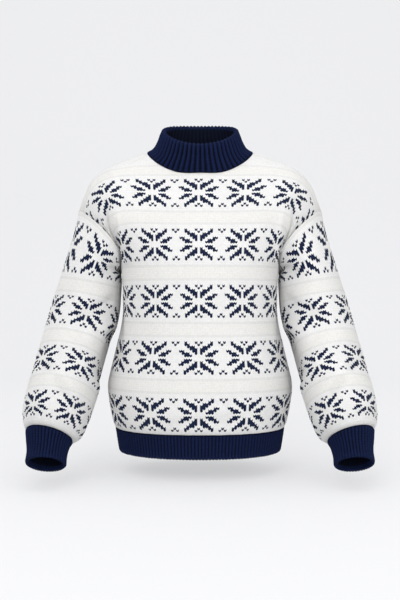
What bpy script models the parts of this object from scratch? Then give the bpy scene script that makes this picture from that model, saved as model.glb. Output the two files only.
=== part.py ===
"""Patterned wool sweater with a mock neck, hollow and filled out as if worn.

Nine knitted pieces meet at their seams: front, back, two sleeves, a rib collar, two rib cuffs and two rib
hem bands. X is across the shoulders, -Y is the front, +Z is up. The origin is the middle of the neck, level
with the side of the neck seam, where a wearer carries it.

The pieces are laid out in stitches across and rows up, as they are knitted. One skin is worked out for the
whole garment, so that neighbours share their seam points and their normals, and each piece is then given
its wall and pulled back from its seams.
"""

import math

import bpy
import numpy as np

PANEL_WALL = 0.0032
RIB_WALL = 0.0045
SEAM_GAP = 0.0004

# The body panels, in stitches and rows.
HALF_PANEL = 50
NECK_STITCH = 20
ARMPIT_ROW = 78
BODY_POWER = 2.25
HEM_DROP = 0.047
HEM_PULL_IN = 0.04

# Level courses of the body below the armholes, from the hem seam up.
#   row, height, half_width, front_depth, back_depth
BODY = (
    (0, -0.5790, 0.1775, 0.134, 0.114),
    (3, -0.5680, 0.1820, 0.141, 0.120),
    (8, -0.5455, 0.1875, 0.145, 0.124),
    (14, -0.5190, 0.1920, 0.146, 0.125),
    (21, -0.4890, 0.1940, 0.146, 0.125),
    (29, -0.4550, 0.1870, 0.145, 0.124),
    (39, -0.4120, 0.1765, 0.143, 0.122),
    (52, -0.3570, 0.1650, 0.141, 0.120),
    (64, -0.3060, 0.1630, 0.141, 0.118),
    (78, -0.2450, 0.1650, 0.139, 0.117),
)

# The shoulder ridge over each stitch of the panel, and how squarely the cloth rolls up to it.
#   stitch, out, height, front_power, back_power
RIDGE = (
    (0, 0.0000, 0.0400, 1.30, 2.70),
    (10, 0.0580, 0.0215, 1.34, 2.60),
    (20, 0.1130, 0.0000, 1.45, 2.40),
    (26, 0.1520, -0.0155, 1.60, 2.20),
    (33, 0.1970, -0.0345, 1.80, 2.05),
    (37, 0.2160, -0.0490, 1.90, 2.00),
    (41, 0.2335, -0.0710, 1.95, 2.00),
    (45, 0.2460, -0.0990, 2.00, 2.00),
    (50, 0.2585, -0.1290, 2.00, 2.00),
)

# The armhole, a slanting ring from the outer end of the shoulder down to the armpit.
SHOULDER_END = np.array((0.2585, 0.0, -0.129))
ARMPIT = np.array((0.165, 0.0, -0.245))
ARMHOLE_FRONT = 0.084
ARMHOLE_BACK = 0.080
ARMHOLE_LIFT_LOW = 0.030
ARMHOLE_LIFT_HIGH = 0.018
ARMHOLE_FULLNESS = 0.9
# How fast the armhole's fullness and its lift die away across the panel.
ARM_SPREAD = 1.3
LIFT_SPREAD = 3.0

# The neck hole, an oval seen from above, and how far the shoulder seam lies in front of the ridge.
NECK_HALF_WIDTH = 0.113
NECK_FRONT = 0.069
NECK_BACK = 0.071
SHOULDER_SEAM_FORWARD = 0.036
SEAM_FORWARD_SKEW = 0.6
SEAM_FORWARD_FULLNESS = 0.7

# The arm from the armhole to the cuff seam: its middle line and its half sizes.
#   row, out, forward, height, across, fore_aft
SLEEVE = (
    (0, 0.2100, 0.000, -0.188, 0.0720, 0.081),
    (16, 0.2225, 0.001, -0.235, 0.0630, 0.079),
    (42, 0.2405, 0.010, -0.331, 0.0710, 0.077),
    (68, 0.2615, 0.045, -0.426, 0.0710, 0.075),
    (92, 0.2795, 0.092, -0.508, 0.0692, 0.072),
    (100, 0.2850, 0.110, -0.537, 0.0665, 0.069),
    (106, 0.2890, 0.123, -0.558, 0.0620, 0.064),
    (110, 0.2925, 0.131, -0.570, 0.0555, 0.057),
    (112, 0.2945, 0.136, -0.578, 0.0495, 0.050),
)
CUFF_TOP = np.array((0.2945, -0.136, -0.578))
CUFF_END = np.array((0.2955, -0.168, -0.6255))
CUFF_TOP_RADIUS = 0.0490
CUFF_END_RADIUS = 0.0410
# Rows over which the armhole's shape fades into the sleeve's own.
FADE_ROWS = 25.6
# How the inner side of a sleeve lies against the body.
SLEEVE_CLEAR = 0.004
CLEAR_ROWS = 10
ARMPIT_FLAT = 0.06
ARMPIT_SQUARENESS = 8.0

# The collar: rings from the neck seam up to its rim, each a leaning oval.
#   middle_y, middle_z, half_width, half_depth, lean
COLLAR = (
    (-0.003, -0.0060, 0.0985, 0.0680, 0.40),
    (-0.004, 0.0080, 0.0900, 0.0680, 0.41),
    (-0.005, 0.0220, 0.0845, 0.0690, 0.42),
    (-0.005, 0.0360, 0.0800, 0.0700, 0.43),
)
COLLAR_SIDE_RISE = 0.012

# Creases sharper than this are the edges of the cloth.
RIM_ANGLE = math.radians(50)

NAVY = (0.012, 0.024, 0.085, 1.0)
IVORY = (0.86, 0.85, 0.82, 1.0)
ROUGHNESS = 0.9


def read(table, at):
    """The columns after the first, at the values of the first in at, on a smooth curve through the rows."""
    rows = np.array(table, float)
    knots, values = rows[:, 0], rows[:, 1:]
    steps = np.diff(knots)[:, None]
    slopes = np.diff(values, axis=0) / steps
    middle = (slopes[:-1] * steps[1:] + slopes[1:] * steps[:-1]) / (steps[:-1] + steps[1:])
    ends = np.concatenate([slopes[:1], middle, slopes[-1:]])
    at = np.atleast_1d(np.asarray(at, float))
    left = np.clip(np.searchsorted(knots, at, side="right") - 1, 0, len(knots) - 2)
    step = steps[left]
    share = np.clip((at[:, None] - knots[left][:, None]) / step, 0.0, 1.0)
    start, end = values[left], values[left + 1]
    rise = 3 * share**2 - 2 * share**3
    leave = share - 2 * share**2 + share**3
    arrive = share**3 - share**2
    return start + (end - start) * rise + step * (ends[left] * leave + ends[left + 1] * arrive)


def even(points, shares):
    """Points at these shares of the length of a line of points."""
    lengths = np.linalg.norm(np.diff(points, axis=0), axis=1)
    along = np.concatenate([[0.0], np.cumsum(lengths)])
    at = np.asarray(shares) * along[-1]
    return np.stack([np.interp(at, along, points[:, axis]) for axis in range(3)], axis=1)


def course(row, stitches, face):
    """Points on a level course of the body; face is -1 on the front and 1 on the back."""
    height, half_width, front_depth, back_depth = read(BODY, row)[0]
    depth = front_depth if face < 0 else back_depth
    turn = np.linspace(0.0, math.pi / 2, 181)
    curve = np.stack(
        [
            half_width * np.sin(turn) ** (2 / BODY_POWER),
            face * depth * np.cos(turn) ** (2 / BODY_POWER),
            np.full(len(turn), height),
        ],
        axis=1,
    )
    return even(curve, np.asarray(stitches) / HALF_PANEL)


def armhole(shares, face):
    """The armhole from the armpit, share 0, to the shoulder end, share 1, round the front or the back."""
    turn = np.linspace(0.0, math.pi, 181)
    along = (1 - np.cos(turn)) / 2
    depth = ARMHOLE_FRONT if face < 0 else ARMHOLE_BACK
    chord = SHOULDER_END - ARMPIT
    inward_up = np.array((-chord[2], 0.0, chord[0])) / np.linalg.norm(chord)
    points = ARMPIT + along[:, None] * chord
    lift = ARMHOLE_LIFT_LOW + (ARMHOLE_LIFT_HIGH - ARMHOLE_LIFT_LOW) * along
    points = points + inward_up * (lift * np.sin(turn))[:, None]
    points[:, 1] = face * depth * np.sin(turn) ** ARMHOLE_FULLNESS
    return even(points, shares)


def wale(stitch, face, shares):
    """A line of stitches from the armpit course up to the shoulder ridge, on the front or the back."""
    out, height, front_power, back_power = read(RIDGE, stitch)[0]
    base = course(ARMPIT_ROW, [stitch], face)[0]
    power = front_power if face < 0 else back_power
    turn = np.linspace(0.0, math.pi / 2, 181)
    climb = np.sin(turn) ** (2 / power)
    curve = np.stack(
        [
            base[0] + (out - base[0]) * climb,
            base[1] * np.cos(turn) ** (2 / power),
            base[2] + (height - base[2]) * climb,
        ],
        axis=1,
    )
    curve = even(curve, shares)
    depth = abs(course(ARMPIT_ROW, [0], face)[0][1])
    turned = 1 - abs(base[1]) / depth
    bulge = armhole(shares, face) - (ARMPIT + np.asarray(shares)[:, None] * (SHOULDER_END - ARMPIT))
    lifted = (stitch / HALF_PANEL) ** LIFT_SPREAD
    return curve + bulge * (lifted, turned**ARM_SPREAD, lifted)


def shoulder_wale(stitch):
    """The line over the shoulder from the front armpit course to the back one, and its ridge point."""
    shares = np.linspace(0.0, 1.0, 121)
    front = wale(stitch, -1, shares)
    back = wale(stitch, 1, shares)
    return np.concatenate([front, back[::-1][1:]]), len(shares) - 1


def panel_top(stitch, face):
    """Points from the armpit course to the panel's top edge: the neck seam, or the shoulder seam."""
    line, ridge = shoulder_wale(stitch)
    if stitch < NECK_STITCH:
        depth = np.where(line[:, 1] < 0, NECK_FRONT, NECK_BACK)
        inside = (line[:, 0] / NECK_HALF_WIDTH) ** 2 + (line[:, 1] / depth) ** 2 - 1
        crossings = np.nonzero(np.diff(np.sign(inside)))[0]
        cut = crossings[0] if face < 0 else crossings[-1]
        share = inside[cut] / (inside[cut] - inside[cut + 1])
        edge = line[cut] + share * (line[cut + 1] - line[cut])
        if face < 0:
            return np.concatenate([line[: cut + 1], [edge]])
        return np.concatenate([line[cut + 1 :][::-1], [edge]])
    lengths = np.linalg.norm(np.diff(line, axis=0), axis=1)
    along = np.concatenate([[0.0], np.cumsum(lengths)])
    outward = (stitch - NECK_STITCH) / (HALF_PANEL - NECK_STITCH)
    bow = max(math.sin(math.pi * outward**SEAM_FORWARD_SKEW), 0.0) if outward < 1 else 0.0
    at = along[ridge] - SHOULDER_SEAM_FORWARD * bow**SEAM_FORWARD_FULLNESS
    edge = np.array([np.interp(at, along, line[:, axis]) for axis in range(3)])
    if face < 0:
        return np.concatenate([line[along < at], [edge]])
    return np.concatenate([line[along > at][::-1], [edge]])


# How finely each piece is laid out.
STITCHES = tuple(np.linspace(0, NECK_STITCH, 7)) + tuple(np.linspace(NECK_STITCH, HALF_PANEL, 9)[1:])
BODY_ROWS = (0, 3, 8, 15, 24, 34, 46, 62, 78)
YOKE_STEPS = 10
SLEEVE_ROWS = (0, 5, 10, 16, 24, 34, 46, 58, 70, 82, 92, 100, 106, 110, 112)
CUFF_STEPS = 3
HEM_STEPS = 2


def panel(face):
    """The grid of one body panel: rows from the hem seam up, stitches from the left edge to the right."""
    half = []
    for stitch in STITCHES:
        lower = [course(row, [stitch], face)[0] for row in BODY_ROWS[:-1]]
        upper = even(panel_top(stitch, face), np.linspace(0.0, 1.0, YOKE_STEPS + 1))
        half.append(np.concatenate([lower, upper]))
    right = np.array(half).transpose(1, 0, 2)
    left = right[:, :0:-1] * (-1, 1, 1)
    return np.concatenate([left, right], axis=1)


def sleeve_ring(row, around):
    """One course of the sleeve at +X; around runs from the armpit round the front and back again."""
    out, forward, height, across, fore_aft = read(SLEEVE, row)[0]
    before, after = read(SLEEVE, [max(row - 2, 0), min(row + 2, SLEEVE[-1][0])])
    down = (after - before)[:3] * (1, -1, 1)
    down = down / np.linalg.norm(down)
    inward = np.array((-1.0, 0.0, 0.0)) - down * -down[0]
    inward = inward / np.linalg.norm(inward)
    ahead = np.cross(down, inward)
    ahead = ahead if ahead[1] < 0 else -ahead
    turn = 2 * math.pi * np.asarray(around)
    ring = (
        np.array((out, -forward, height))
        + inward * (across * np.cos(turn))[:, None]
        + ahead * (fore_aft * np.sin(turn))[:, None]
    )
    return ring


def sleeve(front_panel, back_panel):
    """Rings of the sleeve at +X from the armhole seam down, each from the armpit round by the front."""
    around = np.arange(2 * YOKE_STEPS) / (2 * YOKE_STEPS)
    front_edge = front_panel[len(BODY_ROWS) - 1 :, -1]
    back_edge = back_panel[len(BODY_ROWS) - 1 :, -1]
    seam = np.concatenate([front_edge[:-1], back_edge[:0:-1]])
    start = sleeve_ring(0, around)
    rings = [seam]
    for row in SLEEVE_ROWS[1:]:
        ring = sleeve_ring(row, around)
        leave = max(1 - row / FADE_ROWS, 0.0)
        ring = ring + (seam - start) * leave**2 * (3 - 2 * leave)
        rings.append(stand_clear(ring, row))
    return np.array(rings)


def stand_clear(ring, row):
    """Presses the inner side of a sleeve course flat, just clear of the side of the body."""
    out = ring.copy()
    courses = read(BODY, np.arange(ARMPIT_ROW + 1))
    flat_between = (ARMPIT[2] - ARMPIT_FLAT, ARMPIT[2])
    for point in out:
        half_width = np.interp(point[2], courses[:, 0], courses[:, 1])
        depth = np.interp(point[2], courses[:, 0], courses[:, 2 if point[1] < 0 else 3])
        squareness = np.interp(point[2], flat_between, (BODY_POWER, ARMPIT_SQUARENESS))
        inside = max(1 - abs(point[1] / depth) ** squareness, 0.0)
        side = half_width * inside ** (1 / squareness) + SLEEVE_CLEAR * min(row / CLEAR_ROWS, 1.0)
        point[0] = max(point[0], side)
    return out


def cuff(last_ring):
    """Rings of the cuff at +X, from the sleeve's end down to the wrist."""
    down = (CUFF_END - CUFF_TOP) / np.linalg.norm(CUFF_END - CUFF_TOP)
    inward = np.array((-1.0, 0.0, 0.0)) + down * down[0]
    inward = inward / np.linalg.norm(inward)
    ahead = np.cross(down, inward)
    ahead = ahead if ahead[1] < 0 else -ahead
    turn = 2 * math.pi * np.arange(2 * YOKE_STEPS) / (2 * YOKE_STEPS)
    circle = inward * np.cos(turn)[:, None] + ahead * np.sin(turn)[:, None]
    rings = [last_ring]
    for share in np.linspace(0.0, 1.0, CUFF_STEPS + 1)[1:]:
        radius = CUFF_TOP_RADIUS + (CUFF_END_RADIUS - CUFF_TOP_RADIUS) * share
        rings.append(CUFF_TOP + (CUFF_END - CUFF_TOP) * share + circle * radius)
    return np.array(rings)


def hem(panel_grid):
    """Rows of a hem band from its bottom edge up to the panel."""
    top = panel_grid[0]
    rings = [top]
    for share in np.linspace(0.0, 1.0, HEM_STEPS + 1)[1:]:
        pull = 1 - HEM_PULL_IN * share
        rings.append(top * (pull, pull, 1) - np.array((0, 0, HEM_DROP * share)))
    return np.array(rings[::-1])


def collar(front_panel, back_panel):
    """Rings from the neck seam to the rim, anticlockwise from above from the neck point at -X."""
    middle = (front_panel.shape[1] - 1) // 2
    reach = STITCHES.index(NECK_STITCH)
    front_neck = front_panel[-1, middle - reach : middle + reach + 1]
    back_neck = back_panel[-1, middle - reach : middle + reach + 1]
    base = np.concatenate([front_neck, back_neck[-2:0:-1]])
    angle = np.arctan2(base[:, 0] / NECK_HALF_WIDTH, -base[:, 1] / NECK_FRONT)
    rings = [base]
    for middle_y, middle_z, half_width, half_depth, lean in COLLAR:
        ahead = half_depth * np.cos(angle)
        height = middle_z - ahead * math.tan(lean) + COLLAR_SIDE_RISE * np.sin(angle) ** 2
        rings.append(np.stack([half_width * np.sin(angle), middle_y - ahead, height], axis=1))
    return np.array(rings)


def wind(grid, closed):
    """Quads of a grid of points, as the row and column of each corner."""
    rows, columns = grid.shape[:2]
    last = columns if closed else columns - 1
    for row in range(rows - 1):
        for column in range(last):
            after = (column + 1) % columns
            yield (row, column), (row, after), (row + 1, after), (row + 1, column)


def key(point):
    return tuple(np.round(point, 6) + 0.0)


def rank(point):
    """An order for a seam's points, the same on both its pieces and on both sides of the garment."""
    x, y, z = key(point)
    return -abs(x), y, z


def skin_normals(pieces):
    """The outward normal at each point of the whole garment, shared across its seams."""
    total = {}
    for grid, closed, outward in pieces.values():
        for corners in wind(grid, closed):
            a, b, c, d = (grid[corner] for corner in corners)
            normal = np.cross(c - a, d - b) * outward
            for point in (a, b, c, d):
                name = key(point)
                total[name] = total.get(name, 0.0) + normal
    return {name: normal / np.linalg.norm(normal) for name, normal in total.items()}


def pulled_back(grid, closed):
    """The grid with its edges drawn back by half a seam gap."""
    out = grid.copy()
    edges = [(out[0], grid[0], grid[1]), (out[-1], grid[-1], grid[-2])]
    if not closed:
        edges.append((out[:, 0], grid[:, 0], grid[:, 1]))
        edges.append((out[:, -1], grid[:, -1], grid[:, -2]))
    for target, edge, inner in edges:
        inward = inner - edge
        target += inward / np.linalg.norm(inward, axis=1, keepdims=True) * SEAM_GAP / 2
    return out


def cloth(name, grid, closed, outward, wall, normals, material):
    """One knitted piece as a closed wall, its outer face on the skin and its inner face a wall behind."""
    rows, columns = grid.shape[:2]
    depth = np.array([[normals[key(point)] for point in row] for row in grid])
    outer = pulled_back(grid, closed)
    inner = outer - depth * wall
    points = np.concatenate([outer.reshape(-1, 3), inner.reshape(-1, 3)])
    count = rows * columns

    def number(corner, layer):
        return corner[0] * columns + corner[1] + layer * count

    faces = []
    for corners in wind(grid, closed):
        a, b, c, d = corners if outward > 0 else corners[::-1]
        crossing = np.linalg.norm(grid[a] - grid[c]) > np.linalg.norm(grid[b] - grid[d])
        # Both layers are split along the shorter diagonal, so the wall keeps its thickness.
        for loop in ((a, b, d), (b, c, d)) if crossing else ((a, b, c), (a, c, d)):
            faces.append([number(corner, 0) for corner in loop])
            faces.append([number(corner, 1) for corner in loop[::-1]])
    last = columns if closed else columns - 1
    rim = []
    for column in range(last):
        after = (column + 1) % columns
        rim.append(((0, after), (0, column)))
        rim.append(((rows - 1, column), (rows - 1, after)))
    if not closed:
        for row in range(rows - 1):
            rim.append(((row, 0), (row + 1, 0)))
            rim.append(((row + 1, columns - 1), (row, columns - 1)))
    for edge in rim:
        start, end = edge if outward > 0 else edge[::-1]
        near, far = (number(start, 0), number(start, 1)), (number(end, 0), number(end, 1))
        # Both pieces of a seam split its twisted faces along the same diagonal, so they stay apart.
        if rank(grid[start]) < rank(grid[end]):
            faces += [(near[0], far[0], far[1]), (near[0], far[1], near[1])]
        else:
            faces += [(near[0], far[0], near[1]), (far[0], far[1], near[1])]
    mesh = bpy.data.meshes.new(name)
    mesh.from_pydata(points.tolist(), [], faces)
    mesh.materials.append(material)
    mesh.shade_smooth()
    mesh.set_sharp_from_angle(angle=RIM_ANGLE)
    piece = bpy.data.objects.new(name, mesh)
    bpy.context.scene.collection.objects.link(piece)
    return piece


def wool(name, colour):
    """The plain material of one piece."""
    material = bpy.data.materials.new(name)
    material.use_nodes = True
    shader = material.node_tree.nodes["Principled BSDF"]
    shader.inputs["Base Color"].default_value = colour
    shader.inputs["Roughness"].default_value = ROUGHNESS
    shader.inputs["Metallic"].default_value = 0.0
    return material


for leftover in list(bpy.data.objects):
    bpy.data.objects.remove(leftover)

front_grid, back_grid = panel(-1), panel(1)
sleeve_grid = sleeve(front_grid, back_grid)
cuff_grid = cuff(sleeve_grid[-1])
mirrored = (-1, 1, 1)

# Each piece: its grid, whether it closes round on itself, and which way its quads face.
PIECES = {
    "front": (front_grid, False, 1),
    "back": (back_grid, False, -1),
    "sleeve_left": (sleeve_grid, True, -1),
    "sleeve_right": (sleeve_grid * mirrored, True, 1),
    "collar": (collar(front_grid, back_grid), True, 1),
    "cuff_left": (cuff_grid, True, -1),
    "cuff_right": (cuff_grid * mirrored, True, 1),
    "hem_front": (hem(front_grid), False, 1),
    "hem_back": (hem(back_grid), False, -1),
}
skin = skin_normals(PIECES)
for piece_name, (piece_grid, piece_closed, facing) in PIECES.items():
    is_panel = piece_name.split("_")[0] in ("front", "back", "sleeve")
    piece_wool = wool("Wool_" + piece_name, IVORY if is_panel else NAVY)
    piece_wall = PANEL_WALL if is_panel else RIB_WALL
    cloth(piece_name, piece_grid, piece_closed, facing, piece_wall, skin, piece_wool)
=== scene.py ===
"""Christmas sweater in worsted wool: snowflake bands on white, with a navy rib collar, cuffs and hem.

The garment is put together here in a knitter's order: the front and its stitches first, then the back, the
sleeves, the collar, the cuffs and the hem bands. Each piece is laid out in wales across and courses up.
"""

import math

import bpy
import numpy as np
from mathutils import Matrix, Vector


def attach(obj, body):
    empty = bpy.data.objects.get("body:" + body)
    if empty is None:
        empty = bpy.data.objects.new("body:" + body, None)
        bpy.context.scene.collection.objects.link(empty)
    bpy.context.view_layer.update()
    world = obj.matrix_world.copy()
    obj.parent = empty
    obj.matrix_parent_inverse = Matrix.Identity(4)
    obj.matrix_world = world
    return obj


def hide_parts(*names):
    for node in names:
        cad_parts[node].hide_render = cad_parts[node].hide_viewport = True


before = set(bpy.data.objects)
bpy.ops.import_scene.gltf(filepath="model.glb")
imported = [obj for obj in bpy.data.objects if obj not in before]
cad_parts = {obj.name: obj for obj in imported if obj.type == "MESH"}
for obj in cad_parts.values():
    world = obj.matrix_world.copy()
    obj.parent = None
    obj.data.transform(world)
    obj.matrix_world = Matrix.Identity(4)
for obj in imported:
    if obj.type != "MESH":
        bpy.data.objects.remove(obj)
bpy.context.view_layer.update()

# ---------------------------------------------------------------------------------------------------------
# Studio. A level camera at chest height looks square at the front. The garment hangs clear of a pale
# seamless sheet that runs along the floor and curves up behind it, lit from behind a little so that it stays
# even, under large soft lights.
CAMERA_DISTANCE = 1.7
CAMERA_HEIGHT = -0.313
LENS_MM = 48.0
SENSOR_MM = 36.0
FLOOR_HEIGHT = -0.673
SWEEP_RADIUS = 0.9
SWEEP_BACK = 2.6
SWEEP_FRONT = -4.0
SWEEP_HALF_WIDTH = 9.0
SWEEP_TOP = 4.0
PAPER = (0.310, 0.310, 0.315, 1.0)
PAPER_GLOW = 0.505

camera = bpy.data.objects.new("Camera", bpy.data.cameras.new("Camera"))
camera.data.sensor_fit = "VERTICAL"
camera.data.sensor_height = SENSOR_MM
camera.data.lens = LENS_MM
camera.location = (0.0, -CAMERA_DISTANCE, CAMERA_HEIGHT)
camera.rotation_euler = (math.radians(90), 0.0, 0.0)
bpy.context.scene.collection.objects.link(camera)
bpy.context.scene.camera = camera

bend = np.linspace(0.0, math.pi / 2, 24)
sweep = [(SWEEP_FRONT, FLOOR_HEIGHT)]
for turn in bend:
    back = SWEEP_BACK - SWEEP_RADIUS + SWEEP_RADIUS * math.sin(turn)
    sweep.append((back, FLOOR_HEIGHT + SWEEP_RADIUS * (1 - math.cos(turn))))
sweep.append((SWEEP_BACK, SWEEP_TOP))
sheet_points = [(side * SWEEP_HALF_WIDTH, y, z) for y, z in sweep for side in (-1, 1)]
sheet_faces = [(2 * i, 2 * i + 1, 2 * i + 3, 2 * i + 2) for i in range(len(sweep) - 1)]
paper_mesh = bpy.data.meshes.new("Studio_paper")
paper_mesh.from_pydata(sheet_points, [], sheet_faces)
paper_mesh.shade_smooth()
paper = bpy.data.objects.new("Studio_paper", paper_mesh)
bpy.context.scene.collection.objects.link(paper)
paper_material = bpy.data.materials.new("Studio_paper")
paper_material.use_nodes = True
paper_shader = paper_material.node_tree.nodes["Principled BSDF"]
paper_shader.inputs["Base Color"].default_value = PAPER
paper_shader.inputs["Roughness"].default_value = 0.95
paper_shader.inputs["Emission Color"].default_value = (0.985, 0.99, 1.0, 1.0)
paper_shader.inputs["Emission Strength"].default_value = PAPER_GLOW
paper_mesh.materials.append(paper_material)

world = bpy.data.worlds.new("Studio")
world.use_nodes = True
world.node_tree.nodes["Background"].inputs["Color"].default_value = (0.985, 0.99, 1.0, 1.0)
world.node_tree.nodes["Background"].inputs["Strength"].default_value = 0.97
bpy.context.scene.world = world
bpy.context.scene.view_settings.view_transform = "Standard"

# name, place, aimed at, side in metres, watts
SOFT_LIGHTS = (
    ("Key", (-0.7, -2.3, 1.3), (0.0, 0.0, -0.25), 1.6, 27.0),
    ("Fill", (1.1, -2.3, 0.15), (0.0, 0.0, -0.36), 1.8, 21.0),
    ("Top", (0.0, -0.1, 1.9), (0.0, 0.0, -0.30), 1.8, 9.0),
)
for light_name, place, aim, side, watts in SOFT_LIGHTS:
    light = bpy.data.objects.new(light_name, bpy.data.lights.new(light_name, "AREA"))
    light.data.size = side
    light.data.energy = watts
    light.location = place
    towards = Vector(aim) - Vector(place)
    light.rotation_euler = towards.to_track_quat("-Z", "Y").to_euler()
    bpy.context.scene.collection.objects.link(light)

# ---------------------------------------------------------------------------------------------------------
# Front. A panel of stocking stitch in white wool, with bands of navy snowflakes knitted in and plain bands of
# cream between them. It runs from the hem up to the neck and to a seam lying just in front of the shoulders,
# and its sides are sewn to the back below the arm and to the sleeves above it.
HALF_PANEL = 50
NECK_WALE = 20
ARMPIT_COURSE = 78
YOKE_COURSE = 0.0044
BODY_POWER = 2.25

# Level courses of the body: course, height, half width, front depth, back depth.
BODY = (
    (0, -0.5790, 0.1775, 0.134, 0.114),
    (3, -0.5680, 0.1820, 0.141, 0.120),
    (8, -0.5455, 0.1875, 0.145, 0.124),
    (14, -0.5190, 0.1920, 0.146, 0.125),
    (21, -0.4890, 0.1940, 0.146, 0.125),
    (29, -0.4550, 0.1870, 0.145, 0.124),
    (39, -0.4120, 0.1765, 0.143, 0.122),
    (52, -0.3570, 0.1650, 0.141, 0.120),
    (64, -0.3060, 0.1630, 0.141, 0.118),
    (78, -0.2450, 0.1650, 0.139, 0.117),
)
# The shoulder ridge: wale, out, height, and how squarely the front and the back roll up to it.
RIDGE = (
    (-10, -0.0580, 0.0215, 1.34, 2.60),
    (0, 0.0000, 0.0400, 1.30, 2.70),
    (10, 0.0580, 0.0215, 1.34, 2.60),
    (20, 0.1130, 0.0000, 1.45, 2.40),
    (26, 0.1520, -0.0155, 1.60, 2.20),
    (33, 0.1970, -0.0345, 1.80, 2.05),
    (37, 0.2160, -0.0490, 1.90, 2.00),
    (41, 0.2335, -0.0710, 1.95, 2.00),
    (45, 0.2460, -0.0990, 2.00, 2.00),
    (50, 0.2585, -0.1290, 2.00, 2.00),
)
SHOULDER_END = np.array((0.2585, 0.0, -0.129))
ARMPIT = np.array((0.165, 0.0, -0.245))
ARMHOLE_FRONT = 0.084
ARMHOLE_BACK = 0.080
ARMHOLE_LIFT_LOW = 0.030
ARMHOLE_LIFT_HIGH = 0.018
ARMHOLE_FULLNESS = 0.9
ARM_SPREAD = 1.3
LIFT_SPREAD = 3.0
NECK_HALF_WIDTH = 0.113
NECK_FRONT = 0.069
NECK_BACK = 0.071
SHOULDER_SEAM_FORWARD = 0.036
SEAM_FORWARD_SKEW = 0.6
SEAM_FORWARD_FULLNESS = 0.7
FINE = 8  # places across one wale at which the skin is worked out
CURVE_STEPS = 181  # places along a rounded line, from which its even places are read
YOKE_STEPS = 121


def read(table, at):
    """The columns after the first, at the values of the first in at, on a smooth curve through the rows."""
    rows = np.array(table, float)
    knots, values = rows[:, 0], rows[:, 1:]
    steps = np.diff(knots)[:, None]
    slopes = np.diff(values, axis=0) / steps
    middle = (slopes[:-1] * steps[1:] + slopes[1:] * steps[:-1]) / (steps[:-1] + steps[1:])
    ends = np.concatenate([slopes[:1], middle, slopes[-1:]])
    at = np.atleast_1d(np.asarray(at, float))
    left = np.clip(np.searchsorted(knots, at, side="right") - 1, 0, len(knots) - 2)
    step = steps[left]
    share = np.clip((at[:, None] - knots[left][:, None]) / step, 0.0, 1.0)
    start, end = values[left], values[left + 1]
    rise = 3 * share**2 - 2 * share**3
    leave = share - 2 * share**2 + share**3
    arrive = share**3 - share**2
    return start + (end - start) * rise + step * (ends[left] * leave + ends[left + 1] * arrive)


def lengths_along(points):
    """How far each point of a line of points lies along it."""
    return np.concatenate([[0.0], np.cumsum(np.linalg.norm(np.diff(points, axis=0), axis=1))])


def pick(points, along, at):
    return np.stack([np.interp(at, along, points[:, axis]) for axis in range(3)], axis=1)


def even(points, shares):
    """Points at these shares of the length of a line of points."""
    along = lengths_along(points)
    return pick(points, along, np.asarray(shares) * along[-1])


def course(row, wales, face):
    """Points on a level course of the body; face is -1 on the front and 1 on the back."""
    height, half_width, front_depth, back_depth = read(BODY, row)[0]
    depth = front_depth if face < 0 else back_depth
    turn = np.linspace(0.0, math.pi / 2, CURVE_STEPS)
    across = half_width * np.sin(turn) ** (2 / BODY_POWER)
    out = face * depth * np.cos(turn) ** (2 / BODY_POWER)
    return even(np.stack([across, out, np.full(len(turn), height)], axis=1), np.asarray(wales) / HALF_PANEL)


def armhole(shares, face):
    """The armhole seam from the armpit, share 0, to the shoulder end, share 1."""
    turn = np.linspace(0.0, math.pi, CURVE_STEPS)
    along = (1 - np.cos(turn)) / 2
    depth = ARMHOLE_FRONT if face < 0 else ARMHOLE_BACK
    chord = SHOULDER_END - ARMPIT
    inward_up = np.array((-chord[2], 0.0, chord[0])) / np.linalg.norm(chord)
    lift = ARMHOLE_LIFT_LOW + (ARMHOLE_LIFT_HIGH - ARMHOLE_LIFT_LOW) * along
    points = ARMPIT + along[:, None] * chord + inward_up * (lift * np.sin(turn))[:, None]
    points[:, 1] = face * depth * np.sin(turn) ** ARMHOLE_FULLNESS
    return even(points, shares)


def yoke_line(wale, face, shares):
    """A wale of the body from the armpit course up to the shoulder ridge."""
    out, height, front_power, back_power = read(RIDGE, wale)[0]
    base = course(ARMPIT_COURSE, [wale], face)[0]
    power = front_power if face < 0 else back_power
    turn = np.linspace(0.0, math.pi / 2, CURVE_STEPS)
    climb = np.sin(turn) ** (2 / power)
    across = base[0] + (out - base[0]) * climb
    level = base[2] + (height - base[2]) * climb
    line = even(np.stack([across, base[1] * np.cos(turn) ** (2 / power), level], axis=1), shares)
    turned = 1 - abs(base[1]) / abs(course(ARMPIT_COURSE, [0], face)[0][1])
    bulge = armhole(shares, face) - (ARMPIT + np.asarray(shares)[:, None] * (SHOULDER_END - ARMPIT))
    lifted = (wale / HALF_PANEL) ** LIFT_SPREAD
    return line + bulge * (lifted, turned**ARM_SPREAD, lifted)


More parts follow.
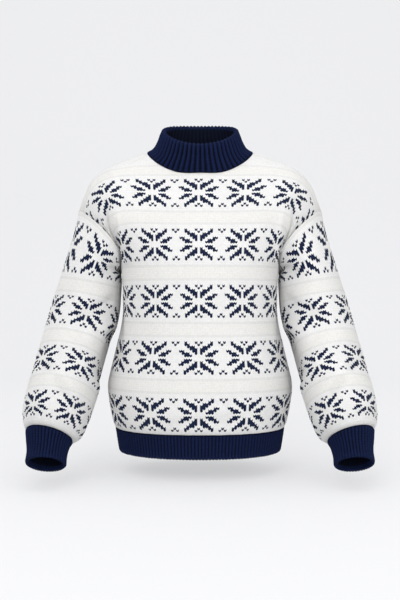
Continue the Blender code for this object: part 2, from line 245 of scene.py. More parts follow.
def yoke_to_seam(wale, face):
    """Points from the armpit course up to the panel's top edge: the neck seam, or the shoulder seam."""
    shares = np.linspace(0.0, 1.0, YOKE_STEPS)
    front = yoke_line(wale, -1, shares)
    line = np.concatenate([front, yoke_line(wale, 1, shares)[::-1][1:]])
    along = lengths_along(line)
    if wale < NECK_WALE:
        depth = np.where(line[:, 1] < 0, NECK_FRONT, NECK_BACK)
        inside = (line[:, 0] / NECK_HALF_WIDTH) ** 2 + (line[:, 1] / depth) ** 2 - 1
        crossings = np.nonzero(np.diff(np.sign(inside)))[0]
        cut = crossings[0] if face < 0 else crossings[-1]
        at = np.interp(0.0, np.sort(inside[cut : cut + 2]), [0.0, 1.0])
        at = at if inside[cut] < inside[cut + 1] else 1 - at
        at = along[cut] + at * (along[cut + 1] - along[cut])
    else:
        outward = (wale - NECK_WALE) / (HALF_PANEL - NECK_WALE)
        bow = max(math.sin(math.pi * outward**SEAM_FORWARD_SKEW), 0.0) if outward < 1 else 0.0
        at = along[len(shares) - 1] - SHOULDER_SEAM_FORWARD * bow**SEAM_FORWARD_FULLNESS
    edge = pick(line, along, [at])
    if face < 0:
        return np.concatenate([line[along < at], edge])
    return np.concatenate([line[along > at][::-1], edge])


def panel_skin(face):
    """The panel as columns, FINE to a wale, each the courses and the points of a line up the cloth."""
    wales = np.arange(HALF_PANEL * FINE + 1) / FINE
    courses = np.arange(ARMPIT_COURSE)
    lower = np.array([course(row, wales, face) for row in courses])
    half = []
    for number, wale in enumerate(wales):
        upper = yoke_to_seam(wale, face)
        rows = ARMPIT_COURSE + lengths_along(upper) / YOKE_COURSE
        half.append((np.concatenate([courses, rows]), np.concatenate([lower[:, number], upper])))
    other = [(rows, points * (-1, 1, 1)) for rows, points in half[:0:-1]]
    return other + half


# One half of a flake's height, from its middle course up, and from its middle wale out to the next gap.
FLAKE = (
    "..........",
    "...###....",
    ".#..###...",
    ".##...##..",
    ".###......",
    "..###.....",
    "#...##...#",
    ".#...#..#.",
)
FLAKE_WALES = 18
FLAKE_COURSES = 26
CREAM_FROM = 10
PLAIN_ABOVE = 126
WHITE = (0.925, 0.920, 0.910)
CREAM = (0.925, 0.914, 0.888)
SHADE = (0.860, 0.852, 0.835)
NAVY = (0.0085, 0.0155, 0.052)
FLOATS = (0.33, 0.34, 0.38)


def pattern(wale, row, behind, middle_wale, middle_row):
    """The yarn of each stitch, where a flake's middle is at middle_wale and middle_row.

    Behind the flakes the navy yarn is carried across in floats, so there the two yarns show mixed.
    """
    across = np.abs((wale - middle_wale + FLAKE_WALES // 2) % FLAKE_WALES - FLAKE_WALES // 2)
    up = np.abs((row - middle_row + FLAKE_COURSES // 2) % FLAKE_COURSES - FLAKE_COURSES // 2)
    chart = np.zeros((FLAKE_COURSES, FLAKE_WALES), bool)
    for number, line in enumerate(FLAKE):
        chart[number, : len(line)] = [mark == "#" for mark in line]
    yarn = np.tile(np.array(WHITE), (len(wale), 1))
    yarn[up >= CREAM_FROM] = CREAM
    yarn[up == CREAM_FROM] = SHADE
    in_band = (up > 0) & (up < len(FLAKE)) & (row < PLAIN_ABOVE)
    yarn[chart[up, across] & in_band] = NAVY
    yarn[behind & in_band] = FLOATS
    return yarn


# How far the side of the V, its middle and the two places along each leg stand out from the skin.
STOCKING = {"side": -0.0011, "middle": -0.0007, "near": 0.0004, "far": 0.0002}
SLANT = 0.5  # courses that a leg of the V climbs from its middle to its side
SEAM_SINK = -0.0014
INSIDE_SHARE = 0.45  # how deep a folded rib is on the inside, against the outside
# Shares of a folded skin's length: where its rib starts to go shallow, over how much, and where it is inside.
SHALLOW_FROM = 0.38
SHALLOW_OVER = 0.1
INSIDE_FROM = 0.54
CREASE_FADE = 0.15  # how far on each side of its end a crease dies away, as a share of its length
# Sides of a face, and whole faces, that are shorter than this many courses are left out.
LEAST_SIDE = 1e-4
LEAST_FACE = 1e-3
WALE_SIZE = 0.0050
COURSE_SIZE = 0.0043
# Where the outer face, the inner face and the rims lie in the bake map, up its side.
BAKE_MARGIN = 0.005
BAKE_OUTER = (0.01, 0.60)
BAKE_INNER = (0.63, 0.92)
BAKE_FOLDED = (0.01, 0.92)
BAKE_ENDS = ((0.935, 0.945), (0.955, 0.965))
BAKE_SIDES = ((0.972, 0.980), (0.986, 0.994))


def skin_at(skin, columns, rows):
    """Points of the skin at these columns and rows."""
    points = np.empty((len(columns), 3))
    order = np.argsort(columns, kind="stable")
    starts = np.concatenate([[0], np.nonzero(np.diff(columns[order]))[0] + 1, [len(order)]])
    for start, end in zip(starts[:-1], starts[1:]):
        here = order[start:end]
        on_rows, on_points = skin[columns[here[0]]]
        points[here] = pick(on_points, on_rows, rows[here])
    return points


def skin_leans(skin, closed, columns, rows):
    """The skin's direction at these columns and rows, outward where wales run to the right and courses up."""
    size = len(skin)
    if closed:
        right, left = (columns + 1) % size, (columns - 1) % size
    else:
        right, left = np.minimum(columns + 1, size - 1), np.maximum(columns - 1, 0)
    tops = np.array([on_rows[-1] for on_rows, _ in skin])
    up, down = np.minimum(rows + 0.5, tops[columns]), np.maximum(rows - 0.5, 0.0)
    across = skin_at(skin, right, rows) - skin_at(skin, left, rows)
    along = skin_at(skin, columns, up) - skin_at(skin, columns, down)
    normal = np.cross(across, along)
    return normal / np.linalg.norm(normal, axis=1, keepdims=True)


def zipped(one, one_at, other, other_at):
    """Triangles between two lines of points that run side by side."""
    strip = []
    i = j = 0
    while i < len(one) - 1 or j < len(other) - 1:
        if j == len(other) - 1 or (i < len(one) - 1 and one_at[i + 1] <= other_at[j + 1]):
            strip.append((one[i], one[i + 1], other[j]))
            i += 1
        else:
            strip.append((one[i], other[j + 1], other[j]))
            j += 1
    return np.array(strip)


def crease_rise(wales, rows, crease):
    """A soft trough or ridge along a line in the cloth, which dies away at its ends and to its sides."""
    from_wale, from_row, to_wale, to_row, width, rise = crease
    start = np.array((from_wale * WALE_SIZE, from_row * COURSE_SIZE))
    line = np.array((to_wale * WALE_SIZE, to_row * COURSE_SIZE)) - start
    at = np.stack([wales * WALE_SIZE, rows * COURSE_SIZE], axis=1) - start
    share = at @ line / (line @ line)
    away = np.abs(at[:, 0] * line[1] - at[:, 1] * line[0]) / np.linalg.norm(line)
    fade = 2 * CREASE_FADE
    ends = np.clip((share + CREASE_FADE) / fade, 0, 1) * np.clip((1 + CREASE_FADE - share) / fade, 0, 1)
    return rise * np.exp(-((away / width) ** 2)) * ends * ends * (3 - 2 * ends)


def knit(name, skin, closed, facing, stitches, yarn_of, wall=0.0, inner_steps=0, creases=()):
    """One piece of knitting: every stitch is a V of two legs, and every leg a small ridge of six triangles.

    With a wall, a plainer inner face lies that far behind. Without one, the skin folds back on itself over a
    rim, and its two ends are joined.
    """
    step = FINE // 2
    halves = (len(skin) - (0 if closed else 1)) // step
    count = halves + (0 if closed else 1)
    all_tops = np.array([on_rows[-1] for on_rows, _ in skin])
    tops = all_tops[::step]
    high = tops.max()
    is_side = np.arange(count) % 2 == 0
    level = np.arange(-1, int(math.ceil(high)) + 1)[None, :] + SLANT * is_side[:, None]
    level = np.clip(level, 0.0, tops[:, None])
    new = np.diff(level, axis=1, prepend=-1.0) > LEAST_SIDE
    ids = (np.cumsum(new.reshape(-1)) - 1).reshape(level.shape)
    columns = np.repeat(np.arange(count) * step, new.sum(axis=1))
    rows = level[new]
    rises = np.where(is_side[columns // step], stitches["side"], stitches["middle"])
    at_end = (rows <= 0) | (rows >= tops[columns // step] - 1e-6)
    if not closed:
        at_end |= (columns == 0) | (columns == (count - 1) * step)
    rises = np.where(at_end, SEAM_SINK, rises)

    left = np.arange(halves)
    right = (left + 1) % count
    tall = np.stack([np.diff(level[left], axis=1), np.diff(level[right], axis=1)])
    keep = tall.sum(axis=0) > LEAST_FACE
    half_at, row_at = np.nonzero(keep)
    a, d = ids[left, :-1][keep], ids[left, 1:][keep]
    b, c = ids[right, :-1][keep], ids[right, 1:][keep]
    middle_left = ((level[left, :-1] + level[left, 1:]) / 2)[keep]
    middle_right = ((level[right, :-1] + level[right, 1:]) / 2)[keep]
    tall = tall[:, keep]
    p = len(rows) + np.arange(len(half_at))
    q = p + len(half_at)
    fullness = np.clip(tall.sum(axis=0) / 2, 0.0, 1.0)
    left_is_middle = half_at % 2 == 1
    for near, place in ((left_is_middle, 1), (~left_is_middle, 3)):
        share = place / step
        at = half_at * step + place
        columns = np.concatenate([columns, at])
        level_there = middle_left * (1 - share) + middle_right * share
        rows = np.concatenate([rows, np.minimum(level_there, all_tops[at])])
        crest = np.where(near, stitches["near"], stitches["far"])
        rises = np.concatenate([rises, SEAM_SINK + (crest - SEAM_SINK) * fullness])

    # Each group: the corners of its faces, where they lie up the bake map, and the stitch they belong to.
    bake = BAKE_OUTER if wall else BAKE_FOLDED
    stitch = np.stack([half_at // 2, row_at - 1], axis=1)
    groups = [(np.stack([a, b, q, p], axis=1), bake, stitch), (np.stack([p, q, c, d], axis=1), bake, stitch)]
    for corners, height in (((b, c, q), tall[1]), ((d, a, p), tall[0])):
        there = height > LEAST_SIDE
        groups.append((np.stack(corners, axis=1)[there], bake, stitch[there]))
    first, last = ids[:, 0], ids[:, -1]
    if wall:
        shares = np.linspace(0.0, 1.0, inner_steps + 1)
        grid = len(rows) + np.arange(count * len(shares)).reshape(count, -1)
        columns = np.concatenate([columns, np.repeat(np.arange(count) * step, len(shares))])
        rows = np.concatenate([rows, (shares[None, :] * tops[:, None]).reshape(-1)])
        rises = np.concatenate([rises, np.zeros(grid.size)])
        inside = np.stack([grid[left, 1:], grid[right, 1:], grid[right, :-1], grid[left, :-1]], axis=2)
        groups.append((inside.reshape(-1, 4), BAKE_INNER, None))
        low_end = (grid[left, 0], grid[right, 0], first[right], first[left])
        high_end = (last[left], last[right], grid[right, -1], grid[left, -1])
        groups.append((np.stack(low_end, axis=1), BAKE_ENDS[0], None))
        groups.append((np.stack(high_end, axis=1), BAKE_ENDS[1], None))
    else:
        joined = (last[left], last[right], first[right], first[left])
        groups.append((np.stack(joined, axis=1), BAKE_ENDS[0], None))
    for k, rim in () if closed else ((0, BAKE_SIDES[0]), (count - 1, BAKE_SIDES[1])):
        line = np.unique(ids[k])
        if wall:
            strip = zipped(line, rows[line], grid[k], rows[grid[k]])
        else:
            out, back = line[: len(line) // 2], line[len(line) // 2 :][::-1]
            strip = zipped(out, np.arange(len(out)), back, np.arange(len(back)))
        groups.append((strip if k == 0 else strip[:, ::-1], rim, None))

    points = skin_at(skin, columns, rows)
    leans = skin_leans(skin, closed, columns, rows) * facing
    layer = rows > high / 2
    if not wall:
        shallow = np.clip((rows / high - SHALLOW_FROM) / SHALLOW_OVER, 0.0, 1.0)
        rises = rises * (1 - (1 - INSIDE_SHARE) * shallow)
    if wall:
        layer = np.arange(len(rows)) >= grid[0, 0]
        points[layer] -= leans[layer] * wall
    for crease in creases:
        rises = rises + crease_rise(columns / FINE, rows, crease)

    loops, totals, colours, bakes = [], [], [], []
    for corners, place, stitch in groups:
        across = columns[corners] + 0.0
        up = place[0] + (place[1] - place[0]) * rows[corners] / high
        if place in BAKE_SIDES:
            across = rows[corners] / high
            across = len(skin) * (across if wall else np.where(layer[corners], 1 - across, across))
        else:
            across[across.max(axis=1, keepdims=True) - across > len(skin) / 2] += len(skin)
        if place in BAKE_ENDS + BAKE_SIDES:
            up = np.where(layer[corners], place[1], place[0])
        if stitch is None:
            stitch = np.stack([columns[corners[:, 0]] // FINE, rows[corners[:, 0]].astype(int)], axis=1)
        sideways = BAKE_MARGIN + (1 - 2 * BAKE_MARGIN) * across / (len(skin) + FINE)
        baked = np.stack([sideways, up], axis=2)
        bakes.append(baked[:, ::facing].reshape(-1, 2))
        # Behind marks the inside: of a panel, where the floats show, and of a folded rib, whose navy is
        # painted darker there as painted shade.
        behind = layer[corners].all(axis=1) if wall else stitch[:, 1] > high * INSIDE_FROM
        colours.append(yarn_of(stitch[:, 0], stitch[:, 1], behind))
        loops.append(corners[:, ::facing].reshape(-1))
        totals.append(np.full(len(corners), corners.shape[1]))
    totals, colours = np.concatenate(totals), np.concatenate(colours)
    mesh = bpy.data.meshes.new(name)
    mesh.vertices.add(len(points))
    mesh.vertices.foreach_set("co", points.reshape(-1))
    mesh.loops.add(totals.sum())
    mesh.loops.foreach_set("vertex_index", np.concatenate(loops))
    mesh.polygons.add(len(totals))
    mesh.polygons.foreach_set("loop_start", np.cumsum(totals) - totals)
    mesh.update(calc_edges=True)
    mesh.attributes.new("relief", "FLOAT", "POINT").data.foreach_set("value", rises)
    mesh.attributes.new("lean", "FLOAT_VECTOR", "POINT").data.foreach_set("vector", leans.reshape(-1))
    dyed = np.concatenate([colours, np.ones((len(colours), 1))], axis=1)
    mesh.attributes.new("yarn", "FLOAT_COLOR", "FACE").data.foreach_set("color", dyed.reshape(-1))
    mesh.uv_layers.new(name="OFBake").data.foreach_set("uv", np.concatenate(bakes).reshape(-1))
    mesh.shade_smooth()
    piece = bpy.data.objects.new(name, mesh)
    bpy.context.scene.collection.objects.link(piece)
    return piece


def raise_relief(piece, material, seed):
    """Lifts the stitches by their relief, with the unevenness of hand knitting, and leaves a plain mesh."""
    tree = bpy.data.node_groups.new("Knit relief", "GeometryNodeTree")
    sockets = {}
    for label, kind in (
        ("Geometry", "NodeSocketGeometry"),
        ("Relief scale", "NodeSocketFloat"),
        ("Unevenness", "NodeSocketFloat"),
        ("Seed", "NodeSocketFloat"),
        ("Material", "NodeSocketMaterial"),
    ):
        sockets[label] = tree.interface.new_socket(label, in_out="INPUT", socket_type=kind).identifier
    tree.interface.new_socket("Geometry", in_out="OUTPUT", socket_type="NodeSocketGeometry")

    def node(kind, **settings):
        made = tree.nodes.new(kind)
        for setting, value in settings.items():
            setattr(made, setting, value)
        return made

    inputs, outputs = node("NodeGroupInput"), node("NodeGroupOutput")
    relief = node("GeometryNodeInputNamedAttribute", data_type="FLOAT")
    relief.inputs["Name"].default_value = "relief"
    lean = node("GeometryNodeInputNamedAttribute", data_type="FLOAT_VECTOR")
    lean.inputs["Name"].default_value = "lean"
    noise = node("ShaderNodeTexNoise", noise_dimensions="4D")
    noise.inputs["Scale"].default_value = 95.0
    noise.inputs["Detail"].default_value = 1.0
    scaled = node("ShaderNodeMath", operation="MULTIPLY")
    centred = node("ShaderNodeMath", operation="SUBTRACT")
    centred.inputs[1].default_value = 0.5
    uneven = node("ShaderNodeMath", operation="MULTIPLY_ADD")
    offset = node("ShaderNodeVectorMath", operation="SCALE")
    place = node("GeometryNodeSetPosition")
    realize = node("GeometryNodeRealizeInstances")
    finish = node("GeometryNodeSetMaterial")
    link = tree.links.new
    link(relief.outputs["Attribute"], scaled.inputs[0])
    link(inputs.outputs["Relief scale"], scaled.inputs[1])
    link(inputs.outputs["Seed"], noise.inputs["W"])
    link(noise.outputs["Fac"], centred.inputs[0])
    link(centred.outputs[0], uneven.inputs[0])
    link(inputs.outputs["Unevenness"], uneven.inputs[1])
    link(scaled.outputs[0], uneven.inputs[2])
    link(lean.outputs["Attribute"], offset.inputs[0])
    link(uneven.outputs[0], offset.inputs["Scale"])
    link(inputs.outputs["Geometry"], place.inputs["Geometry"])
    link(offset.outputs["Vector"], place.inputs["Offset"])
    link(place.outputs["Geometry"], realize.inputs["Geometry"])
    link(realize.outputs["Geometry"], finish.inputs["Geometry"])
    link(inputs.outputs["Material"], finish.inputs["Material"])
    link(finish.outputs["Geometry"], outputs.inputs["Geometry"])
    modifier = piece.modifiers.new("Knit relief", "NODES")
    modifier.node_group = tree
    modifier[sockets["Relief scale"]] = 1.0
    modifier[sockets["Unevenness"]] = 0.0012
    modifier[sockets["Seed"]] = float(seed)
    modifier[sockets["Material"]] = material
    graph = bpy.context.evaluated_depsgraph_get()
    graph.update()
    raised = bpy.data.meshes.new_from_object(piece.evaluated_get(graph), depsgraph=graph)
    piece.modifiers.remove(modifier)
    piece.data = raised


def yarn_group():
    """Plied wool: fibre and twist as height, a tone that drifts from stitch to stitch, and painted shade in
    the grooves.
    """
    group = bpy.data.node_groups.new("Wool yarn", "ShaderNodeTree")
    for label, kind, value in (
        ("Yarn", "NodeSocketColor", None),
        ("Place", "NodeSocketVector", None),
        ("Relief", "NodeSocketFloat", 0.0),
        ("Tone drift", "NodeSocketFloat", 0.1),
        ("Groove shade", "NodeSocketFloat", 0.7),
        ("Twist size", "NodeSocketFloat", 420.0),
    ):
        socket = group.interface.new_socket(label, in_out="INPUT", socket_type=kind)
        if value is not None:
            socket.default_value = value
    for label, kind in (
        ("Color", "NodeSocketColor"),
        ("Roughness", "NodeSocketFloat"),
        ("Height", "NodeSocketFloat"),
    ):
        group.interface.new_socket(label, in_out="OUTPUT", socket_type=kind)
    nodes, link = group.nodes, group.links.new
    inputs, outputs = nodes.new("NodeGroupInput"), nodes.new("NodeGroupOutput")
    drift = nodes.new("ShaderNodeTexNoise")
    drift.inputs["Scale"].default_value = 260.0
    drift.inputs["Detail"].default_value = 4.0
    drift.inputs["Roughness"].default_value = 0.75
    fibre = nodes.new("ShaderNodeTexNoise")
    fibre.inputs["Scale"].default_value = 420.0
    fibre.inputs["Detail"].default_value = 4.0
    fibre.inputs["Roughness"].default_value = 0.8
    twist = nodes.new("ShaderNodeTexWave")
    twist.bands_direction = "DIAGONAL"
    twist.inputs["Distortion"].default_value = 1.5
    low = nodes.new("ShaderNodeMath")
    low.operation = "MULTIPLY_ADD"
    low.inputs[1].default_value = -0.5
    low.inputs[2].default_value = 1.0
    spread = nodes.new("ShaderNodeMath")
    spread.operation = "MULTIPLY_ADD"
    # Painted shade: the deeper a place lies in the stitch relief, the darker its colour, down to the groove
    # shade at the bottom of a groove.
    groove = nodes.new("ShaderNodeMapRange")
    groove.inputs["From Min"].default_value = -0.0022
    groove.inputs["From Max"].default_value = 0.0005
    groove.inputs["To Max"].default_value = 1.0
    both = nodes.new("ShaderNodeMath")
    both.operation = "MULTIPLY"
    tint = nodes.new("ShaderNodeVectorMath")
    tint.operation = "SCALE"
    rough = nodes.new("ShaderNodeMapRange")
    rough.inputs["To Min"].default_value = 0.82
    rough.inputs["To Max"].default_value = 0.98
    height = nodes.new("ShaderNodeMath")
    height.operation = "MULTIPLY_ADD"
    height.inputs[1].default_value = 0.6
    for texture in (drift, fibre, twist):
        link(inputs.outputs["Place"], texture.inputs["Vector"])
    link(inputs.outputs["Twist size"], twist.inputs["Scale"])
    link(inputs.outputs["Tone drift"], low.inputs[0])
    link(drift.outputs["Fac"], spread.inputs[0])
    link(inputs.outputs["Tone drift"], spread.inputs[1])
    link(low.outputs[0], spread.inputs[2])
    link(inputs.outputs["Relief"], groove.inputs["Value"])
    link(inputs.outputs["Groove shade"], groove.inputs["To Min"])
    link(spread.outputs[0], both.inputs[0])
    link(groove.outputs["Result"], both.inputs[1])
    link(inputs.outputs["Yarn"], tint.inputs[0])
    link(both.outputs[0], tint.inputs["Scale"])
    link(fibre.outputs["Fac"], rough.inputs["Value"])
    link(twist.outputs["Fac"], height.inputs[0])
    link(fibre.outputs["Fac"], height.inputs[2])
    link(tint.outputs["Vector"], outputs.inputs["Color"])
    link(rough.outputs["Result"], outputs.inputs["Roughness"])
    link(height.outputs[0], outputs.inputs["Height"])
    return group


YARN_GROUP = yarn_group()


def wool(name, tone_drift, groove_shade, sheen):
    """The finish of one wool, coloured by the yarn attribute of what it covers."""
    material = bpy.data.materials.new(name)
    material.use_nodes = True
    nodes, link = material.node_tree.nodes, material.node_tree.links.new
    shader = nodes["Principled BSDF"]
    shader.inputs["Sheen Weight"].default_value = sheen
    shader.inputs["Sheen Roughness"].default_value = 0.45
    shader.inputs["Specular IOR Level"].default_value = 0.12
    yarn = nodes.new("ShaderNodeAttribute")
    yarn.attribute_name = "yarn"
    relief = nodes.new("ShaderNodeAttribute")
    relief.attribute_name = "relief"
    place = nodes.new("ShaderNodeTexCoord")
    group = nodes.new("ShaderNodeGroup")
    group.node_tree = YARN_GROUP
    group.inputs["Tone drift"].default_value = tone_drift
    # The groove shade is how dark the painted shade at the bottom of a groove goes.
    group.inputs["Groove shade"].default_value = groove_shade
    bump = nodes.new("ShaderNodeBump")
    bump.inputs["Strength"].default_value = 0.8
    bump.inputs["Distance"].default_value = 0.0012
    link(yarn.outputs["Color"], group.inputs["Yarn"])
    link(relief.outputs["Fac"], group.inputs["Relief"])
    link(place.outputs["Object"], group.inputs["Place"])
    link(group.outputs["Color"], shader.inputs["Base Color"])
    link(group.outputs["Roughness"], shader.inputs["Roughness"])
    link(group.outputs["Height"], bump.inputs["Height"])
    link(bump.outputs["Normal"], shader.inputs["Normal"])
    return material


PANEL_WALL = 0.0030
PANEL_INNER_STEPS = 36
MIDDLE_WALE = 49  # the middle of one flake of the body
MIDDLE_ROW = 9  # the middle course of the band above the hem
PATTERNED_WOOL = wool("Patterned wool", 0.34, 0.90, 0.05)
# From and to, as wale and course from the left side and the hem, then width and rise.
FRONT_CREASES = (
    (86.5, 112, 100, 95, 0.009, -0.0050),
    (13.5, 112, 0, 95, 0.009, -0.0050),
    (84, 104, 92, 74, 0.012, 0.0030),
    (16, 104, 8, 74, 0.012, 0.0030),
    (96, 60, 86, 34, 0.016, -0.0030),
    (4, 60, 14, 34, 0.016, -0.0030),
    (30, 6, 66, 9, 0.010, -0.0020),
)


def body_yarn(wale, row, behind):
    return pattern(wale, row, behind, MIDDLE_WALE, MIDDLE_ROW)


front_skin = panel_skin(-1)
front = knit(
    "Front", front_skin, False, 1, STOCKING, body_yarn, PANEL_WALL, PANEL_INNER_STEPS, FRONT_CREASES
)
raise_relief(front, PATTERNED_WOOL, 1)
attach(front, "root")
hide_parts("front")

# ---------------------------------------------------------------------------------------------------------
# Back. The same panel in the same wool, knitted a little longer so that it rises over the shoulders to the
# seam in front of them, with its neck cut higher. It is sewn to the front at the sides and along that seam.
BACK_CREASES = (
    (88, 108, 100, 90, 0.010, -0.0045),
    (12, 108, 0, 90, 0.010, -0.0045),
    (72, 88, 84, 58, 0.014, -0.0030),
    (30, 84, 18, 52, 0.014, -0.0030),
    (36, 20, 60, 14, 0.013, -0.0030),
    (58, 36, 84, 26, 0.014, -0.0025),
)

back_skin = panel_skin(1)
back = knit(
    "Back", back_skin, False, -1, STOCKING, body_yarn, PANEL_WALL, PANEL_INNER_STEPS, BACK_CREASES
)
raise_relief(back, PATTERNED_WOOL, 2)
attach(back, "root")
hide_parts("back")

# ---------------------------------------------------------------------------------------------------------
# Sleeves. Two tubes in the same wool and bands, wide at the top and full above the cuff, each knitted flat
# and sewn into a tube, then sewn round the armhole. They hang down and forward just clear of the body.
SLEEVE_WALES = 90
SLEEVE_COURSES = 100
SLEEVE_INNER_STEPS = 40
FADE_ROWS = 19.5
SLEEVE_CLEAR = 0.0018
CLEAR_ROWS = 7.5
ARMPIT_FLAT = 0.06
ARMPIT_SQUARENESS = 8.0
# The middle line and size of the sleeve at +X: course down, out, forward, height, half across, and half fore
# and aft.
SLEEVE = (
    (0, 0.2100, 0.000, -0.188, 0.0720, 0.081),
    (12, 0.2225, 0.001, -0.235, 0.0630, 0.079),
    (32, 0.2405, 0.010, -0.331, 0.0710, 0.077),
    (53, 0.2615, 0.045, -0.426, 0.0710, 0.075),
    (77, 0.2795, 0.092, -0.508, 0.0692, 0.072),
    (86, 0.2850, 0.110, -0.537, 0.0665, 0.069),
    (93, 0.2890, 0.123, -0.558, 0.0620, 0.064),
    (97.7, 0.2925, 0.131, -0.570, 0.0555, 0.057),
    (100, 0.2945, 0.136, -0.578, 0.0475, 0.048),
)


def sleeve_ring(row, around):
    """One course of the sleeve at +X; around runs from the armpit round the front and back again."""
    out, forward, height, across, fore_aft = read(SLEEVE, row)[0]
    before, after = read(SLEEVE, [max(row - 2, 0), min(row + 2, SLEEVE_COURSES)])
    down = (after - before)[:3] * (1, -1, 1)
    down = down / np.linalg.norm(down)
    inward = np.array((-1.0, 0.0, 0.0)) - down * -down[0]
    inward = inward / np.linalg.norm(inward)
    ahead = np.cross(down, inward)
    ahead = ahead if ahead[1] < 0 else -ahead
    turn = 2 * math.pi * around
    return (
        np.array((out, -forward, height))
        + inward * (across * np.cos(turn))[:, None]
        + ahead * (fore_aft * np.sin(turn))[:, None]
    )


def stand_clear(ring, row):
    """Presses the inner side of a sleeve course flat, just clear of the side of the body."""
    courses = read(BODY, np.arange(ARMPIT_COURSE + 1))
    half_width = np.interp(ring[:, 2], courses[:, 0], courses[:, 1])
    front_depth = np.interp(ring[:, 2], courses[:, 0], courses[:, 2])
    back_depth = np.interp(ring[:, 2], courses[:, 0], courses[:, 3])
    depth = np.where(ring[:, 1] < 0, front_depth, back_depth)
    squareness = np.interp(ring[:, 2], (ARMPIT[2] - ARMPIT_FLAT, ARMPIT[2]), (BODY_POWER, ARMPIT_SQUARENESS))
    inside = np.maximum(1 - np.abs(ring[:, 1] / depth) ** squareness, 0.0)
    side = half_width * inside ** (1 / squareness) + SLEEVE_CLEAR * min(row / CLEAR_ROWS, 1.0)
    ring[:, 0] = np.maximum(ring[:, 0], side)
    return ring


def sleeve_skin():
    """The sleeve at +X as columns from the cuff up to the armhole, from the armpit round by the front."""
    around = np.arange(SLEEVE_WALES * FINE) / (SLEEVE_WALES * FINE)
    front_half = around <= 0.5
    seam = np.empty((len(around), 3))
    seam[front_half] = armhole(2 * around[front_half], -1)
    seam[~front_half] = armhole(2 * (1 - around[~front_half]), 1)
    start = sleeve_ring(0, around)
    rings = [seam]
    for row in range(1, SLEEVE_COURSES + 1):
        leave = max(1 - row / FADE_ROWS, 0.0)
        ring = sleeve_ring(row, around) + (seam - start) * leave**2 * (3 - 2 * leave)
        rings.append(stand_clear(ring, row))
    rings = np.array(rings[::-1])
    return [(np.arange(SLEEVE_COURSES + 1.0), rings[:, number]) for number in range(len(around))]


LOWEST_BAND = 10  # the middle course of the band above the cuff
BAND_WALES = (12, 14, 18, 20)  # the wale of one flake in each band from the cuff up: the bands turn a little


def sleeve_yarn(wale, row, behind):
    band = np.clip((row - LOWEST_BAND + FLAKE_COURSES // 2) // FLAKE_COURSES, 0, len(BAND_WALES) - 1)
    return pattern(wale, row, behind, np.array(BAND_WALES)[band], LOWEST_BAND)


SLEEVE_CREASES = (
    (0, 36, 0, 60, 0.030, -0.0120),
    (90, 36, 90, 60, 0.030, -0.0120),
    (8, 74, 22, 60, 0.010, -0.0045),
    (4, 62, 16, 52, 0.012, 0.0030),
    (26, 26, 12, 40, 0.012, 0.0035),
    (16, 18, 30, 34, 0.010, -0.0030),
    (40, 30, 56, 42, 0.014, -0.0035),
    (60, 66, 76, 52, 0.014, -0.0040),
    (58, 16, 74, 26, 0.012, -0.0035),
    (2, 96, 16, 84, 0.010, -0.0040),
)
at_left = sleeve_skin()
at_right = [(rows, points * (-1, 1, 1)) for rows, points in at_left]
for label, skin, facing, node_name, seed in (
    ("Sleeve_left", at_left, 1, "sleeve_left", 3),
    ("Sleeve_right", at_right, -1, "sleeve_right", 4),
):
    sleeve = knit(
        label, skin, True, facing, STOCKING, sleeve_yarn, PANEL_WALL, SLEEVE_INNER_STEPS, SLEEVE_CREASES
    )
    raise_relief(sleeve, PATTERNED_WOOL, seed)
    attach(sleeve, "root")
    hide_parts(node_name)

# ---------------------------------------------------------------------------------------------------------
# Collar. A stand-up band of navy rib, picked up round the neck edge and knitted upwards, then turned over its
# thick top edge and down inside. The ribs fan out where it meets the shoulders.
COLLAR_RIB = {"side": -0.0044, "middle": 0.0016, "near": 0.0018, "far": -0.0008}
COLLAR_WALL = 0.0080
RIM_STEPS = 7
COLLAR_RIBS = 50
COLLAR_COURSES = 36
COLLAR_STEPS = 21
COLLAR_SIDE_RISE = 0.012
# Rings of the collar above the neck seam: middle back and up, half width, half depth, and lean to the front.
COLLAR = (
    (-0.003, -0.0060, 0.0985, 0.0680, 0.40),
    (-0.004, 0.0080, 0.0900, 0.0680, 0.41),
    (-0.005, 0.0220, 0.0845, 0.0690, 0.42),
    (-0.005, 0.0330, 0.0805, 0.0700, 0.43),
)


def folded(lines, closed, facing, wall, courses):
    """Columns that run along each line, over a rounded rim and back again a wall's depth behind it."""
    if closed:
        across = np.roll(lines, -1, axis=0) - np.roll(lines, 1, axis=0)
    else:
        across = np.gradient(lines, axis=0)
    along = np.gradient(lines, axis=1)
    outward = np.cross(across, along) * facing
    outward /= np.linalg.norm(outward, axis=2, keepdims=True)
    ahead = along[:, -1] / np.linalg.norm(along[:, -1], axis=1, keepdims=True)
    turn = np.linspace(0, math.pi, RIM_STEPS)[None, 1:-1, None]
    centre = (lines[:, -1] - outward[:, -1] * wall / 2)[:, None]
    rim = centre + (outward[:, -1][:, None] * np.cos(turn) + ahead[:, None] * np.sin(turn)) * wall / 2
    inner = (lines - outward * wall)[:, ::-1]
    whole = np.concatenate([lines, rim, inner], axis=1)
    skin = []
    for line in whole:
        along_line = lengths_along(line)
        skin.append((along_line / along_line[-1] * courses, line))
    return skin


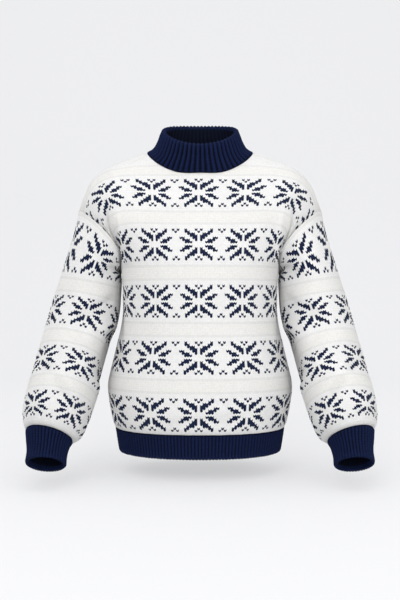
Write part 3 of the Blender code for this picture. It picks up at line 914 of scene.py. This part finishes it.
def collar_skin():
    """The collar's columns, anticlockwise from above from the neck point at -X."""
    reach = NECK_WALE * FINE
    middle = HALF_PANEL * FINE
    front_neck = np.array([points[-1] for _, points in front_skin[middle - reach : middle + reach + 1]])
    back_neck = np.array([points[-1] for _, points in back_skin[middle - reach : middle + reach + 1]])
    around = np.concatenate([front_neck, back_neck[-2::-1]])
    base = even(around, np.arange(COLLAR_RIBS * FINE) / (COLLAR_RIBS * FINE))
    angle = np.arctan2(base[:, 0] / NECK_HALF_WIDTH, -base[:, 1] / NECK_FRONT)
    rings = [base]
    for middle_y, middle_z, half_width, half_depth, lean in COLLAR:
        ahead = half_depth * np.cos(angle)
        height = middle_z - ahead * math.tan(lean) + COLLAR_SIDE_RISE * np.sin(angle) ** 2
        rings.append(np.stack([half_width * np.sin(angle), middle_y - ahead, height], axis=1))
    rings = np.array(rings)
    up = np.linspace(0, len(COLLAR), COLLAR_STEPS)
    lines = []
    for number in range(len(base)):
        table = np.column_stack([np.arange(len(rings)), rings[:, number]])
        lines.append(read(table, up))
    return folded(np.array(lines), True, 1, COLLAR_WALL, COLLAR_COURSES)


RIB_NAVY = (0.0055, 0.0130, 0.0560)
# The inside of a folded rib: the same navy painted darker, as painted shade for the inside, which lies out of
# the light.
RIB_NAVY_PAINTED_SHADE = (0.0020, 0.0045, 0.0170)


def navy_yarn(wale, row, behind):
    # The inside of the collar, cuffs and hem gets the painted shade navy.
    return np.where(behind[:, None], np.array(RIB_NAVY_PAINTED_SHADE), np.array(RIB_NAVY))


# The rib's grooves take deep painted shade, down to 0.22 of the yarn's colour.
RIB_WOOL = wool("Rib wool", 1.30, 0.22, 0.0)
collar = knit("Collar", collar_skin(), True, 1, COLLAR_RIB, navy_yarn)
raise_relief(collar, RIB_WOOL, 5)
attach(collar, "root")
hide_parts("collar")

# ---------------------------------------------------------------------------------------------------------
# Cuffs. Short tubes of the same navy rib, which gather the full end of each sleeve and narrow to the wrist.
# Each is knitted on from the sleeve, turned over its edge and down inside.
CUFF_RIBS = 40
CUFF_COURSES = 26
RIB_STEPS = 13
CUFF_WALL = 0.0055
CUFF_RIB = {"side": -0.0032, "middle": 0.0009, "near": 0.0012, "far": -0.0005}
CUFF_TOP = np.array((0.2945, -0.136, -0.578))
CUFF_END = np.array((0.2955, -0.168, -0.6255))
# How far down the cuff, and its radius there.
CUFF_RADIUS = (
    (0.00, 0.0465),
    (0.20, 0.0435),
    (0.45, 0.0398),
    (0.75, 0.0380),
    (1.00, 0.0388),
)


def cuff_skin(mirror):
    """The columns of a cuff from the sleeve down to the wrist and back up inside."""
    around = np.arange(CUFF_RIBS * FINE) / (CUFF_RIBS * FINE)
    down = (CUFF_END - CUFF_TOP) / np.linalg.norm(CUFF_END - CUFF_TOP)
    inward = np.array((-1.0, 0.0, 0.0)) + down * down[0]
    inward = inward / np.linalg.norm(inward)
    ahead = np.cross(down, inward)
    ahead = ahead if ahead[1] < 0 else -ahead
    turn = 2 * math.pi * around
    circle = inward * np.cos(turn)[:, None] + ahead * np.sin(turn)[:, None]
    start = sleeve_ring(SLEEVE_COURSES, around)
    share = np.linspace(0.0, 1.0, RIB_STEPS)[None, :, None]
    radius = read(CUFF_RADIUS, share.reshape(-1))[None]
    lines = CUFF_TOP + (CUFF_END - CUFF_TOP) * share + circle[:, None] * radius
    join = np.clip(1 - 3 * share, 0.0, 1.0)
    lines = lines + (start - lines[:, 0])[:, None] * join
    return folded(lines * (mirror, 1, 1), True, -mirror, CUFF_WALL, CUFF_COURSES)


for side, label, mirror, seed in (("left", "Cuff_left", 1, 6), ("right", "Cuff_right", -1, 7)):
    cuff = knit(label, cuff_skin(mirror), True, -mirror, CUFF_RIB, navy_yarn)
    raise_relief(cuff, RIB_WOOL, seed)
    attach(cuff, "root")
    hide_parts("cuff_" + side)

# ---------------------------------------------------------------------------------------------------------
# Hem bands. The same navy rib along the bottom of the front and of the back, knitted down from the panels and
# joined at the side seams. It draws the body in a little and is turned over its bottom edge.
HEM_RIBS = 73
HEM_COURSES = 24
HEM_DROP = 0.047
HEM_PULL_IN = 0.04
HEM_RIB = {"side": -0.0027, "middle": 0.0007, "near": 0.0010, "far": -0.0004}
HEM_WALL = 0.0050


def hem_skin(face):
    """The columns of a hem band from the panel down to the edge and back up inside."""
    wales = np.linspace(0, HALF_PANEL, HEM_RIBS * FINE // 2 + 1)
    half = course(0, wales, face)
    top = np.concatenate([(half * (-1, 1, 1))[:0:-1], half])
    share = np.linspace(0.0, 1.0, RIB_STEPS)[None, :, None]
    pull = 1 - HEM_PULL_IN * share * np.array((1, 1, 0))
    lines = top[:, None] * pull - np.array((0, 0, HEM_DROP)) * share
    return folded(lines, False, face, HEM_WALL, HEM_COURSES)


for label, face, node_name, width, seed in (
    ("Hem_front", -1, "hem_front", 0.50, 8),
    ("Hem_back", 1, "hem_back", 0.47, 9),
):
    band = knit(label, hem_skin(face), False, face, HEM_RIB, navy_yarn)
    raise_relief(band, RIB_WOOL, seed)
    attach(band, "root")
    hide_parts(node_name)
